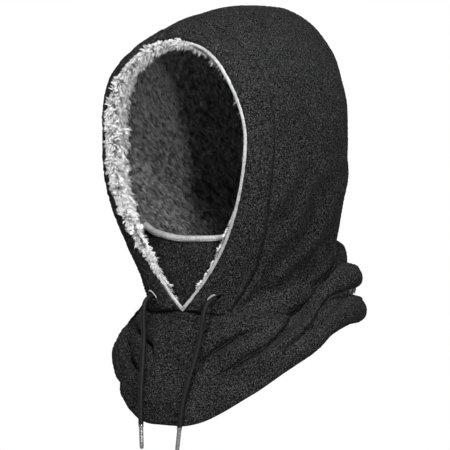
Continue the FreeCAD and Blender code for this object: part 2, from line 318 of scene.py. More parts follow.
def waves(p, wavelength, seed, count=40):
    """Smooth random swells of about one wavelength, with a spread of 1."""
    rng = np.random.default_rng(seed)
    way = unit(rng.normal(size=(count, 3)))
    pitch = 2 * math.pi / wavelength * rng.uniform(0.75, 1.3, (count, 1))
    phase = rng.uniform(0, 2 * math.pi, count)
    return np.cos(p @ (way * pitch).T + phase).sum(-1) * math.sqrt(2 / count)


def track(x, points):
    """A smooth line through a few (x, value) points."""
    xs, ys = np.array(points, float).T
    i = np.clip(np.searchsorted(xs, x) - 1, 0, len(xs) - 2)
    slopes = np.gradient(ys, xs)
    h = xs[i + 1] - xs[i]
    t = np.clip((x - xs[i]) / h, 0, 1)
    a, b = ys[i], ys[i + 1]
    m, n = slopes[i] * h, slopes[i + 1] * h
    return (
        a * (2 * t**3 - 3 * t**2 + 1)
        + m * (t**3 - 2 * t**2 + t)
        + b * (3 * t**2 - 2 * t**3)
        + n * (t**3 - t**2)
    )


# Creases of the slumped neck: degrees from the front against height, and against depth
CREASE_A = [(86, 141), (100, 145.5), (114, 153.5), (127, 164), (136, 176), (180, 180)]
DEPTH_A = [(84, 0), (96, 4), (110, 9), (127, 13), (180, 11)]
CREASE_B = [(30, 52), (45, 67.7), (56, 79.5), (66, 93), (78, 107.6)]
CREASE_B += [(92, 124), (105, 136), (122, 147), (180, 152)]
DEPTH_B = [(27, 0), (38, 9), (56, 12), (92, 14), (122, 15), (180, 13)]
CREASE_C = [(62, 72), (68.5, 79), (82, 96), (91, 107), (102, 116), (118, 123), (180, 125)]
DEPTH_C = [(62, 0), (72, 6), (82, 11), (100, 14), (180, 13)]
CREASE_D = [(15, 55), (19.5, 66), (22, 72), (31.5, 82), (43, 90), (58, 97), (75, 102)]
DEPTH_D = [(16, 0), (21, 9), (31, 13), (43, 9), (58, 3), (66, 0)]
VALLEY = [(40, 115), (45, 119), (52, 126.3), (64, 132.5), (73, 137), (83, 145.5)]
VALLEY += [(97, 156), (108, 169), (130, 190)]


def crease(z, turn, heights, depths, above, below, sag):
    """A sharp inward fold: how far it dips, and how far the roll above it hangs over it."""
    depth = np.maximum(track(turn, depths), 0)
    off = z - track(turn, heights) - 0.5 * sag * depth
    hollow = 1 - smooth(0.25 * below, 1.3 * below, -off)
    dip = -depth * np.where(off > 0, np.exp(-np.abs(off) / above), hollow)
    over = np.maximum(off, 0) / 5
    return dip, -sag * depth * over * np.exp(1 - over)


def swell(x, middle, width):
    return np.exp(-(((x - middle) / width) ** 2))


def azimuth(p):
    """Degrees round the neck from the front, positive on the wearer's left."""
    return np.degrees(np.arctan2(p[..., 0], MID - p[..., 1]))


CREASES = [
    (CREASE_A, DEPTH_A, 5, 9, 0.5),
    (CREASE_B, DEPTH_B, 5, 11, 0.6),
    (CREASE_C, DEPTH_C, 5, 10, 0.6),
    (CREASE_D, DEPTH_D, 5, 10, 0.55),
]


def slump(p):
    """How the rolled-down neck differs from its plain shape: outward, and upward, in mm."""
    azimuth_deg = azimuth(p)
    side = np.abs(azimuth_deg)
    left = smooth(-10, 10, azimuth_deg)
    z = p[..., 2]
    seam_z = NECK_SEAM + NECK_SEAM_BACK_RISE * smooth(60, 160, side)
    out = 20 * smooth(58, 125, side) * swell(z, seam_z, np.where(z > seam_z, 24, 26))
    lobe = smooth(22, 50, side) * (1 - smooth(75, 110, side))
    out = out + lerp(3.5, 9, left) * swell(z, 88, 26) * lobe
    out = out + 4 * smooth(60, 110, side) * (swell(z, 108, 10) + swell(z, 135, 10))
    up = 0.0 * z
    for heights, depths, above, below, sag in CREASES:
        dip, hang = crease(z, side, heights, depths, above, below, sag)
        out = out + dip
        up = up + hang
    valley = track(side, VALLEY)
    ends = smooth(38, 52, side) * (1 - smooth(112, 130, side))
    out = out - 5.0 * ends * swell(z, valley, 9) + 2.0 * ends * swell(z, valley - 17, 8)
    return out, up


def bib_folds(p):
    """Softer folds on the front of the bib."""
    turn = azimuth(p)
    z = p[..., 2]
    low = 1 - smooth(46, 66, z)
    out = 3.4 * swell(turn, 19 - 0.05 * (60 - z), 5.5) * low
    out = out - 2.6 * swell(turn, 27, 6) * low * smooth(-5, 25, z)
    out = out - 3.4 * swell(turn, -3, 13) * swell(z, 52, 20)
    out = out + 1.8 * swell(turn, 0, 16) * swell(z, 24, 9)
    out = out + 6.0 * swell(turn, -66, 13) * swell(z, 56, 34)
    out = out - 6.0 * np.exp(-np.abs(turn + 50) / 3.5) * smooth(8, 30, z) * (1 - smooth(80, 98, z))
    out = out + 2.0 * swell(turn, -38, 8) * swell(z, 50, 30)
    return out


def drape(p):
    """Slack in the hood: slanting folds on its sides and slow swells."""
    x, y, z = np.abs(p[..., 0]), p[..., 1], p[..., 2]
    across = 0.766 * x + 0.643 * y
    slant = 0.55 * z - 0.83 * across
    span = smooth(5, 40, across) * smooth(120, 165, z) * (1 - smooth(225, 275, z))
    out = 2.0 * span * np.sin(2 * math.pi * slant / 27 + 0.8 + 0.6 * waves(p, 90, 3))
    out = out + 0.6 * waves(p, 85, 5) + 0.28 * waves(p, 38, 6)
    return out


def along_line(p, points, width):
    """A ridge's shape about a line through a few points."""
    points = np.array(points, float)
    best = np.full(p.shape[:-1], 1e9)
    ends = np.ones(p.shape[:-1])
    for i, (a, b) in enumerate(zip(points, points[1:])):
        run = b - a
        t = ((p - a) @ run) / (run @ run)
        clipped = np.clip(t, 0, 1)
        far = np.linalg.norm(p - a - clipped[..., None] * run, axis=-1)
        nearer = far < best
        share = (i + clipped) / (len(points) - 1)
        ends = np.where(nearer, np.sin(math.pi * np.clip(share, 0.02, 0.98)) ** 0.5, ends)
        best = np.minimum(best, far)
    return np.exp(-((best / width) ** 2)) * ends


def nubs(p, seed):
    """The fleece's pilled nap."""
    fine = waves(p, 2.9, seed)
    return 0.17 * np.clip(fine, -1.2, 2.2) + 0.12 * waves(p, 6.5, seed + 50)


# Meshes ----------------------------------------------------------------------


def build_mesh(name, points, faces, body, material, marks=None):
    """A mesh object from points in mm and faces of three or four corners each."""
    mesh = bpy.data.meshes.new(name)
    mesh.vertices.add(len(points))
    mesh.vertices.foreach_set("co", to_frame(points).astype(np.float32).ravel())
    counts = np.concatenate([np.full(len(f), f.shape[1]) for f in faces])
    corners = np.concatenate([f.ravel() for f in faces])
    mesh.loops.add(len(corners))
    mesh.loops.foreach_set("vertex_index", corners.astype(np.int32))
    mesh.polygons.add(len(counts))
    starts = np.concatenate([[0], np.cumsum(counts)[:-1]])
    mesh.polygons.foreach_set("loop_start", starts.astype(np.int32))
    mesh.polygons.foreach_set("use_smooth", np.ones(len(counts), bool))
    for key, values in (marks or {}).items():
        layer = mesh.attributes.new(key, "FLOAT", "POINT")
        layer.data.foreach_set("value", values.astype(np.float32).ravel())
    mesh.update(calc_edges=True)
    mesh.validate()
    mesh.materials.append(material)
    piece = bpy.data.objects.new(name, mesh)
    bpy.context.scene.collection.objects.link(piece)
    if body:
        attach(piece, body)
    return piece


def grid_quads(rows, columns, start=0, wrap=False):
    i = np.arange(rows if wrap else rows - 1)
    j = np.arange(columns - 1)
    i, j = np.meshgrid(i, j, indexing="ij")
    k = (i + 1) % rows
    a, b = i * columns + j, k * columns + j
    return start + np.stack([a, b, b + 1, a + 1], axis=-1).reshape(-1, 4)


def volume(points, quads):
    a, b, c, d = (points[quads[:, i]] for i in range(4))
    return (np.cross(a, b) * c).sum() + (np.cross(a, c) * d).sum()


def closed_sheet(name, outer, inner, body, material, wrap=False):
    """Cloth between two grids of points, shut along its edges."""
    rows, columns = outer.shape[:2]
    points = np.concatenate([outer.reshape(-1, 3), inner.reshape(-1, 3)])
    count = rows * columns
    tops = grid_quads(rows, columns, 0, wrap)
    feet = grid_quads(rows, columns, count, wrap)[:, ::-1]
    walls = []
    runs = [np.arange(rows) * columns, np.arange(rows)[::-1] * columns + columns - 1]
    if wrap:
        runs = [np.append(r, r[0]) for r in runs]
    else:
        runs += [(rows - 1) * columns + np.arange(columns), np.arange(columns)[::-1]]
    for run in runs:
        a, b = run[:-1], run[1:]
        walls.append(np.stack([b, a, a + count, b + count], axis=-1))
    quads = np.concatenate([tops, feet] + walls)
    if volume(points, quads) < 0:
        quads = quads[:, ::-1]
    return build_mesh(name, points, [quads], body, material)


def run_lengths(grid, axis):
    """Distance in mm along each line of a grid, from its first point."""
    steps = np.linalg.norm(np.diff(grid, axis=axis), axis=-1)
    start = np.zeros_like(np.take(steps, [0], axis=axis))
    return np.cumsum(np.concatenate([start, steps], axis=axis), axis=axis)


def line_run(points):
    """Distance along a line of points."""
    return np.concatenate([[0], np.cumsum(np.linalg.norm(np.diff(points, axis=0), axis=1))])


def edge_distances(grid):
    """Distance to the first and last row, and to the first and last column."""
    down = run_lengths(grid, 0)
    over = run_lengths(grid, 1)
    return down, down[-1:] - down, over, over[:, -1:] - over


def grid_normals(grid, wrap=False):
    if wrap:
        along = np.roll(grid, -1, axis=0) - np.roll(grid, 1, axis=0)
    else:
        along = np.gradient(grid, axis=0)
    return unit(np.cross(along, np.gradient(grid, axis=1)))


def facing_out(normals, like):
    flip = np.where((normals * like).sum(-1, keepdims=True) < 0, -1.0, 1.0)
    return normals * flip


def mirrored(grid):
    return grid * np.array([-1.0, 1.0, 1.0])


def ring_quads(rows, sides):
    """The quads of rows of closed rings."""
    i, j = np.meshgrid(np.arange(rows - 1), np.arange(sides), indexing="ij")
    k = (j + 1) % sides
    quads = np.stack([i * sides + j, i * sides + k, (i + 1) * sides + k, (i + 1) * sides + j], axis=-1)
    return quads.reshape(-1, 4)


def capped(skin, first_point, last_point):
    """Points, quads and end triangles of rings of points closed to a point at each end."""
    rows, sides = skin.shape[:2]
    quads = ring_quads(rows, sides)
    first, last = rows * sides, rows * sides + 1
    j = np.arange(sides)
    k = (j + 1) % sides
    heads = np.stack([np.full(sides, first), k, j], axis=-1)
    tails = np.stack([np.full(sides, last), first - sides + j, first - sides + k], axis=-1)
    caps = np.concatenate([heads, tails])
    points = np.concatenate([skin.reshape(-1, 3), [first_point], [last_point]])
    if volume(points, quads) < 0:
        quads, caps = quads[:, ::-1], caps[:, ::-1]
    return points, quads, caps


def tube(points, radius, sides, shape=None):
    """A closed tube along points, in mm; shape gives the radius's share at (run, angle)."""
    points = np.asarray(points, float)
    tangent = unit(np.gradient(points, axis=0))
    guide = np.array([0.0, -1.0, 0.15])
    out = unit(guide - (tangent @ guide)[:, None] * tangent)
    over = np.cross(tangent, out)
    angle = np.arange(sides) * 2 * math.pi / sides
    run = line_run(points)
    share = np.ones((len(points), sides)) if shape is None else shape(run[:, None], angle[None, :])
    ring = np.cos(angle)[None, :, None] * out[:, None] + np.sin(angle)[None, :, None] * over[:, None]
    skin = points[:, None] + radius * share[..., None] * ring
    return capped(skin, points[0], points[-1])


def joined(parts):
    """Several (points, quads, triangles) as one."""
    points, quads, caps, start = [], [], [], 0
    for p, q, c in parts:
        points.append(p)
        quads.append(q + start)
        caps.append(c + start)
        start += len(p)
    return np.concatenate(points), [np.concatenate(quads), np.concatenate(caps)]


def spikes(roots, tips, bows, radius, seed):
    """Tapered, bowed three-sided hairs from roots to tips, with their share of the way up."""
    rng = np.random.default_rng(seed)
    way = unit(tips - roots)
    spare = unit(rng.normal(size=roots.shape))
    out = unit(np.cross(way, spare))
    over = np.cross(way, out)
    middle = lerp(roots, tips, 0.5) + bows
    count = len(roots)
    points = np.empty((count, 7, 3))
    for i in range(3):
        angle = i * 2 * math.pi / 3
        side = (math.cos(angle) * out + math.sin(angle) * over) * radius[:, None]
        points[:, i] = roots + side
        points[:, 3 + i] = middle + 0.8 * side
    points[:, 6] = tips
    start = np.arange(count)[:, None] * 7
    sides = [[i, (i + 1) % 3, 3 + (i + 1) % 3, 3 + i] for i in range(3)]
    quads = np.concatenate([start + np.array(corners) for corners in sides])
    tris = [start + np.array([3 + i, 3 + (i + 1) % 3, 6]) for i in range(3)]
    tris = np.concatenate(tris + [start + np.array([2, 1, 0])])
    height = np.tile(np.array([0, 0, 0, 0.55, 0.55, 0.55, 1.0]), count)
    return points.reshape(-1, 3), quads, tris, height


def pile(
    name, grid, inward, nap, spacing, hairs, length, radius, swirl, seed,
    body, material, keep=None, spread=0.45,
):
    """Locks of plush over a grid of cloth: inward is the side they grow on, nap the way they lie."""
    rng = np.random.default_rng(seed)
    rows, columns = grid.shape[:2]
    a, b = grid[:-1, :-1], grid[1:, 1:]
    c, d = grid[1:, :-1], grid[:-1, 1:]
    areas = 0.5 * np.linalg.norm(np.cross(b - a, d - c), axis=-1).ravel()
    count = int(areas.sum() / spacing**2)
    cells = rng.choice(len(areas), count, p=areas / areas.sum())
    i, j = np.divmod(cells, columns - 1)
    s, t = rng.random(count)[:, None], rng.random(count)[:, None]

    def pick(field):
        near = lerp(field[i, j], field[i + 1, j], s)
        far = lerp(field[i, j + 1], field[i + 1, j + 1], s)
        return lerp(near, far, t)

    centre = pick(grid)
    up = unit(pick(inward))
    lie = pick(nap)
    tall = length * rng.uniform(0.75, 1.25, (count, 1))
    if keep is not None:
        tall = tall * keep(i / rows, j / columns)[:, None]
    lie = lie + swirl * np.stack([waves(centre, 13, seed + n) for n in (1, 2, 3)], axis=-1)
    lie = lie - (lie * up).sum(-1, keepdims=True) * up
    lock_tip = centre + tall * unit(0.62 * up + lie)
    roots, tips, bows, sizes, tones = [], [], [], [], []
    tone = rng.random(count)
    for n in range(hairs):
        off = rng.normal(size=(count, 3)) * spacing * 0.42
        off = off - (off * up).sum(-1, keepdims=True) * up
        root = centre + off - 0.5 * up
        tip = lock_tip + spread * off + rng.normal(size=(count, 3)) * 0.5
        roots.append(root)
        tips.append(tip)
        bows.append(up * tall * rng.uniform(0.08, 0.26, (count, 1)))
        sizes.append(radius * rng.uniform(0.7, 1.25, count))
        tones.append(np.clip(tone + rng.normal(size=count) * 0.12, 0, 1))
    points, quads, tris, height = spikes(
        np.concatenate(roots), np.concatenate(tips), np.concatenate(bows), np.concatenate(sizes), seed + 9
    )
    marks = {"height": height, "tone": np.repeat(np.concatenate(tones), 7)}
    return build_mesh(name, points, [quads, tris], body, material, marks)


def stitches(name, path, up, dash, gap, radius, body, material):
    """A row of thread dashes along path, each bowed a little out of the cloth."""
    run = line_run(path)
    count = int(run[-1] / (dash + gap))
    starts = (np.arange(count) + 0.15) * run[-1] / count
    share = np.linspace(0, 1, 6)
    at = starts[:, None] + dash * share[None, :]
    line = np.stack([np.interp(at, run, path[:, k]) for k in range(3)], axis=-1)
    lift = np.stack([np.interp(at, run, up[:, k]) for k in range(3)], axis=-1)
    bow = radius * (1.1 * np.sin(math.pi * share) - 0.55)
    line = line + unit(lift) * bow[None, :, None]

    def pinched(at_run, angle):
        return np.clip(1.1 - 0.6 * (2 * at_run / dash - 1) ** 4, 0.3, 1) + 0 * angle

    points, faces = joined([tube(dash_line, radius, 6, pinched) for dash_line in line])
    return build_mesh(name, points, faces, body, material)


# Materials -------------------------------------------------------------------


def new_material(name):
    material = bpy.data.materials.new(name)
    material.use_nodes = True
    tree = material.node_tree
    shader = tree.nodes["Principled BSDF"]
    return material, tree, shader


def node(tree, kind, inputs=None, **settings):
    made = tree.nodes.new(kind)
    for key, value in settings.items():
        setattr(made, key, value)
    for key, value in (inputs or {}).items():
        if isinstance(value, bpy.types.NodeSocket):
            tree.links.new(value, made.inputs[key])
        else:
            made.inputs[key].default_value = value
    return made


def ramp(tree, factor, stops):
    """Grey or coloured stops: (position, value) or (position, (r, g, b))."""
    made = node(tree, "ShaderNodeValToRGB", {"Fac": factor})
    elements = made.color_ramp.elements
    while len(elements) < len(stops):
        elements.new(0.5)
    for element, (place, value) in zip(elements, stops):
        element.position = place
        colour = value if isinstance(value, tuple) else (value, value, value)
        element.color = (*colour, 1.0)
    return made.outputs["Color"]


def mix(tree, factor, a, b, kind="MIX"):
    made = node(tree, "ShaderNodeMix", data_type="RGBA", blend_type=kind)
    for key, value in ((0, factor), (6, a), (7, b)):
        if isinstance(value, bpy.types.NodeSocket):
            tree.links.new(value, made.inputs[key])
        elif key == 0:
            made.inputs[0].default_value = value
        else:
            made.inputs[key].default_value = (value, value, value, 1.0)
    return made.outputs[2]


def bump(tree, height, strength, distance, normal=None):
    inputs = {"Height": height, "Strength": strength, "Distance": distance}
    if normal:
        inputs["Normal"] = normal
    return node(tree, "ShaderNodeBump", inputs).outputs[0]


def finish(tree, shader, colour, normal, rough, specular=None, sheen=None):
    """Joins a colour and normals to the shader; rough is a number or a node's output."""
    tree.links.new(colour, shader.inputs["Base Color"])
    if normal:
        tree.links.new(normal, shader.inputs["Normal"])
    if isinstance(rough, float):
        shader.inputs["Roughness"].default_value = rough
    else:
        tree.links.new(rough, shader.inputs["Roughness"])
    if specular is not None:
        shader.inputs["Specular IOR Level"].default_value = specular
    if sheen is not None:
        shader.inputs["Sheen Weight"].default_value = sheen
        shader.inputs["Sheen Roughness"].default_value = 0.5


def coordinates(tree):
    return node(tree, "ShaderNodeTexCoord").outputs["Object"]


def noise(tree, where, scale, detail=2.0, roughness=0.5, distortion=0.0):
    return node(
        tree,
        "ShaderNodeTexNoise",
        {
            "Vector": where,
            "Scale": scale,
            "Detail": detail,
            "Roughness": roughness,
            "Distortion": distortion,
        },
    ).outputs["Fac"]


def fleece_material(name, dark, light, speck_and_sheen):
    """Pilled polyester fleece: short curled nubs with paler tips and pale flecks, partly the fleece's own
    mottled tone and partly painted sheen on the raised nubs.
    """
    material, tree, shader = new_material(name)
    where = coordinates(tree)
    curl = noise(tree, where, 420, 3, 0.6, 0.8)
    speckle = noise(tree, where, 900, 2, 0.6)
    patches = noise(tree, where, 55, 3, 0.55)
    # partly painted sheen: the raised nub tops are made paler and pale flecks are added
    nub_tone_and_sheen = ramp(tree, curl, [(0.40, dark), (0.53, lerp(dark, light, 0.35)), (0.66, light)])
    fleck_and_sheen = ramp(tree, speckle, [(0.5, 0.0), (0.72, speck_and_sheen)])
    shade = ramp(tree, patches, [(0.3, 0.86), (0.7, 1.12)])
    colour = mix(tree, 1.0, mix(tree, 1.0, nub_tone_and_sheen, fleck_and_sheen, "ADD"), shade, "MULTIPLY")
    rough = ramp(tree, curl, [(0.3, 0.98), (0.7, 0.86)])
    normal = bump(tree, speckle, 0.6, 0.0005, bump(tree, curl, 1.0, 0.002))
    finish(tree, shader, colour, normal, rough, specular=0.03)
    return material


def pile_material(name, root, tip, tint=(1.0, 1.0, 1.0), sheen=0.1):
    """Long plush, dark at the roots and paler at the tips, each lock a little different."""
    material, tree, shader = new_material(name)
    where = coordinates(tree)
    height = node(tree, "ShaderNodeAttribute", attribute_name="height").outputs["Fac"]
    tone = node(tree, "ShaderNodeAttribute", attribute_name="tone").outputs["Fac"]
    patches = noise(tree, where, 60, 2)
    base = ramp(tree, height, [(0.0, tuple(root * t for t in tint)), (0.85, tuple(tip * t for t in tint))])
    locks = ramp(tree, tone, [(0.0, 0.35), (1.0, 1.45)])
    clouds = ramp(tree, patches, [(0.3, 0.85), (0.7, 1.1)])
    colour = mix(tree, 1.0, mix(tree, 1.0, base, locks, "MULTIPLY"), clouds, "MULTIPLY")
    finish(tree, shader, colour, None, 0.7, specular=0.12, sheen=sheen)
    return material


def backing_material(name, dark, light):
    """The knitted ground that the plush grows from."""
    material, tree, shader = new_material(name)
    where = coordinates(tree)
    swirl = noise(tree, where, 260, 4, 0.65, 1.5)
    colour = ramp(tree, swirl, [(0.3, dark), (0.7, light)])
    finish(tree, shader, colour, bump(tree, swirl, 0.9, 0.0015), 0.95, specular=0.05)
    return material


def satin_material(name, dark, light):
    """Satin binding with fine slanting ribs."""
    material, tree, shader = new_material(name)
    where = coordinates(tree)
    streak = noise(tree, where, 500, 3, 0.6, 0.3)
    broad = noise(tree, where, 90, 2)
    colour = ramp(tree, streak, [(0.25, dark), (0.55, light), (0.8, light * 1.12)])
    shade = ramp(tree, broad, [(0.3, 0.8), (0.7, 1.1)])
    colour = mix(tree, 1.0, colour, shade, "MULTIPLY")
    finish(tree, shader, colour, bump(tree, streak, 0.5, 0.0006), 0.38, specular=0.3)
    return material


def thread_material(name, dark, light, upper=None):
    """Twisted or braided yarn; upper lightens it where its tone is 1, as a painted highlight."""
    material, tree, shader = new_material(name)
    where = coordinates(tree)
    twist = noise(tree, where, 1400, 2, 0.6, 0.4)
    colour = ramp(tree, twist, [(0.3, dark), (0.7, light)])
    if upper:
        tone = node(tree, "ShaderNodeAttribute", attribute_name="tone").outputs["Fac"]
        colour = mix(tree, tone, colour, ramp(tree, twist, [(0.3, 0.5 * upper), (0.7, upper)]))
    finish(tree, shader, colour, bump(tree, twist, 0.5, 0.0003), 0.62, specular=0.12)
    return material


def mesh_cloth_material(name):
    """Breathable knit: rows of small holes in a dark ground."""
    material, tree, shader = new_material(name)
    where = coordinates(tree)
    cells = node(tree, "ShaderNodeTexVoronoi", {"Vector": where, "Scale": 620.0, "Randomness": 0.25})
    holes = ramp(tree, cells.outputs["Distance"], [(0.15, 0.004), (0.4, 0.028), (0.6, 0.045)])
    normal = bump(tree, cells.outputs["Distance"], 0.7, 0.0005)
    finish(tree, shader, holes, normal, 0.8, specular=0.05)
    return material


def metal_material(name):
    """Brushed nickel with fine turning marks and faint smudges."""
    material, tree, shader = new_material(name)
    where = coordinates(tree)
    stretch = node(tree, "ShaderNodeMapping", {"Vector": where, "Scale": (300.0, 300.0, 2600.0)})
    marks = noise(tree, stretch.outputs["Vector"], 1.0, 2)
    smudge = noise(tree, where, 350, 2)
    colour = ramp(tree, marks, [(0.3, (0.10, 0.10, 0.105)), (0.7, (0.30, 0.30, 0.31))])
    rough = ramp(tree, smudge, [(0.3, 0.2), (0.7, 0.42)])
    finish(tree, shader, colour, bump(tree, marks, 0.25, 0.0002), rough)
    shader.inputs["Metallic"].default_value = 1.0
    return material


def floor_material(name):
    """Matt pale paper, lit from within away from the object so that it meets the white sky."""
    material, tree, shader = new_material(name)
    where = coordinates(tree)
    grain = noise(tree, where, 3.0, 2)
    finish(tree, shader, ramp(tree, grain, [(0.3, 0.40), (0.7, 0.42)]), None, 0.9, specular=0.0)
    axes = node(tree, "ShaderNodeSeparateXYZ", {"Vector": where}).outputs
    flat = node(tree, "ShaderNodeCombineXYZ", {"X": axes["X"], "Y": axes["Y"]}).outputs[0]
    away = node(tree, "ShaderNodeVectorMath", {0: flat}, operation="LENGTH").outputs["Value"]
    near = node(tree, "ShaderNodeMath", {0: away, 1: 0.25}, operation="MULTIPLY").outputs[0]
    fade = ramp(tree, near, [(0.12, 0.0), (0.60, 1.0)])
    glow = node(tree, "ShaderNodeEmission", {"Strength": 1.0}).outputs[0]
    blend = node(tree, "ShaderNodeMixShader", {0: fade, 1: shader.outputs[0], 2: glow})
    tree.links.new(blend.outputs[0], tree.nodes["Material Output"].inputs["Surface"])
    return material


# the last two numbers set the paler nub tops and the pale flecks, partly painted sheen
FLEECE_MAT = fleece_material("charcoal_fleece", 0.001, 0.011, 0.060)
CORD_MAT = thread_material("black_cord", 0.0015, 0.006)
PLUSH_LIGHT = pile_material("pale_plush", 0.16, 0.74)
# painted shade: the lining's plush is a darker copy of the pale plush, standing for the shade inside the hood
# and neck
PLUSH_PAINTED_SHADE = pile_material("plush_painted_shade", 0.012, 0.22, sheen=0.0)
LIGHT_BACKING = backing_material("pale_plush_ground", 0.08, 0.25)
# painted shade: the lining's knitted ground is darkened in the same way
BACKING_PAINTED_SHADE = backing_material("plush_painted_shade_ground", 0.015, 0.06)
SATIN = satin_material("pale_satin", 0.08, 0.24)
THREAD = thread_material("dark_thread", 0.004, 0.02)
# buttonhole thread whose upper lip is lightened as a painted highlight
WELT = thread_material("buttonhole_thread", 0.003, 0.02, upper=0.3)
MESH_CLOTH = mesh_cloth_material("dark_mesh")
METAL = metal_material("brushed_nickel")


# Hood side panels ------------------------------------------------------------

CROWN_RIDGES = [
    ([(14, -30, 407), (35, -20, 403.5), (50, -10, 399), (66, 12, 390)], 3.5, 3.0),
    ([(25, -9, 408.6), (43, 24, 404.4), (51, 38, 401)], 3.0, 2.6),
]


def seam_shift(p):
    """The centre seam wanders towards the wearer's left over the back of the crown."""
    x, y, z = p[..., 0], p[..., 1], p[..., 2]
    moved = p.copy()
    moved[..., 0] = x + 9 * smooth(-10, 90, y) * smooth(300, 380, z) * np.exp(-((x / 45) ** 2))
    return moved


def hood_relief(p):
    """Outward and upward displacement of the hood's cloth."""
    out, up = slump(p)
    low = 1 - smooth(182, 205, p[..., 2])
    out = out * low + drape(p)
    for line, width, height in CROWN_RIDGES:
        out = out + height * along_line(p, line, width)
    return out, up * low


def hood_panel(side):
    name = "left" if side > 0 else "right"
    u, v = np.meshgrid(np.linspace(0, 1, 165), np.linspace(0.004, 1, 290), indexing="ij")
    base = side_patch(u, v, 1.002)
    if side < 0:
        base = mirrored(base)
    base = onto(seam_shift(base))
    normals = outward(base)
    front, back, foot, head = edge_distances(base)
    base = base - vec(side * 0.4 * np.exp(-((np.minimum(back, head) / 2) ** 2)), 0.0, 0.0)
    shape, up = hood_relief(base)
    shape, up = shape * smooth(0, 14, front), up * smooth(0, 20, front)
    base = base + vec(0.0, 0.0, up)
    rise = shape + nubs(base, 11) - 1.9 * np.exp(-((front / 1.6) ** 2)) - 1.6 * np.exp(-((foot / 1.6) ** 2))
    rise = rise - 1.5 * np.exp(-((np.minimum(back, head) / 1.3) ** 2))
    rise = rise + 0.7 * swell(front, 5, 3.5) + 0.5 * swell(np.minimum(back, head), 4, 3)
    outer = base + normals * rise[..., None]
    inner = base + normals * (shape - FLEECE)[..., None]
    inner = np.where((rise < -1.2)[..., None], outer - normals * 1.2, inner)
    panel = closed_sheet(f"hood_{name}", outer, inner, "hood", FLEECE_MAT)
    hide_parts(f"hood_{name}_panel")
    return panel, outer, normals


def hood_lining(side):
    name = "left" if side > 0 else "right"
    u, v = np.meshgrid(np.linspace(0, 1, 80), np.linspace(0.004, 1, 130), indexing="ij")
    base = side_patch(u, v, FACING_REACH + 0.02)
    if side < 0:
        base = mirrored(base)
    normals = outward(base)
    front, back, _, head = edge_distances(base)
    base = base - vec(side * 0.5 * np.exp(-((np.minimum(back, head) / 3) ** 2)), 0.0, 0.0)
    shape, up = hood_relief(base)
    relief = shape * smooth(0, 20, front) - 0.5 * np.abs(up) + 0.5 * waves(base, 9, 31) - 4.5
    outer = base + normals * relief[..., None]
    inner = outer - normals * (PLUSH + 0.6 * waves(base, 5, 32))[..., None]
    ground = closed_sheet(f"lining_{name}", outer, inner, "hood", BACKING_PAINTED_SHADE)
    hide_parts(f"hood_lining_{name}")
    nap = vec(0.0, 0.45, -1.0) + 0.0 * base

    def shorter(i, j):
        return lerp(0.35, 1.0, smooth(0.0, 0.07, i))

    hair = pile(
        f"lining_{name}_pile", inner, -normals, nap, 2.3, 5, 7.0, 0.21, 0.25, 40 + side,
        "hood", PLUSH_PAINTED_SHADE, keep=shorter, spread=0.9,
    )
    return ground, hair


left_panel, left_skin, left_normals = hood_panel(1)
right_panel, _, _ = hood_panel(-1)
left_lining, left_pile = hood_lining(1)
right_lining, right_pile = hood_lining(-1)


# Band round the opening ------------------------------------------------------


def casing_rise(base, turn, across):
    run = np.abs(turn)
    lift = CASING_BULGE * np.sin(math.pi * np.clip(across, 0, 1)) ** 0.8
    pucker = 0.2 * waves(base, 16, 61) + 0.2 * waves(base, 8, 62) * swell(across, 0.6, 0.4)
    foot = smooth(1.85, 2.0, run)
    ridge = 0.7 * swell(across, CORD_LINE, 0.12) * (1 - foot)
    return lift * (1 - 0.5 * foot) + (pucker + ridge) * smooth(0, 0.15, across)


def slit_dip(base):
    """The open buttonhole in the casing, where the cord comes out."""
    out = np.zeros(base.shape[:-1])
    for side in (-1, 1):
        centre, along, up, _ = slit_frame(side)
        off = base - centre
        a = (off @ along) / 6.6
        b = (off @ up) / (2.6 * np.sqrt(np.clip(1 - a**2, 0.05, 1)) + 0.3)
        inside = np.clip(1 - np.maximum(np.abs(a), np.abs(b)) ** 4, 0, 1)
        near = np.linalg.norm(off, axis=-1) < 14
        out = np.where(near, out - 5.0 * inside, out)
    return out


def slit_frame(side):
    """Centre, long way, short way and outward way of a buttonhole."""
    centre = band(side * SLIT_TURN, CORD_LINE)
    out = outward(centre)
    along = np.array([side * 1.0, 0.0, 0.35])
    along = unit(along - out * (along @ out))
    up = np.cross(out, along) * side
    return centre, along, up, out


def casing():
    turn, across = np.meshgrid(np.linspace(-1.997, 1.997, 700), np.linspace(0.02, 0.998, 34), indexing="ij")
    base = band(turn, across)
    normals = outward(base)
    first, last, inner_edge, outer_edge = edge_distances(base)
    rise = casing_rise(base, turn, across) + slit_dip(base)
    skin = rise + nubs(base, 71) - 1.9 * np.exp(-((outer_edge / 1.5) ** 2)) + 0.6 * swell(outer_edge, 5, 3)
    skin = skin - 1.2 * np.exp(-((inner_edge / 1.5) ** 2))
    skin = skin - 1.3 * np.exp(-((np.minimum(first, last) / 1.4) ** 2))
    outer = base + normals * skin[..., None]
    inner = base + normals * (np.minimum(rise, skin + 1) - FLEECE)[..., None]
    piece = closed_sheet("opening_casing", outer, inner, "hood", FLEECE_MAT)
    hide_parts("face_casing")
    return piece, outer, normals


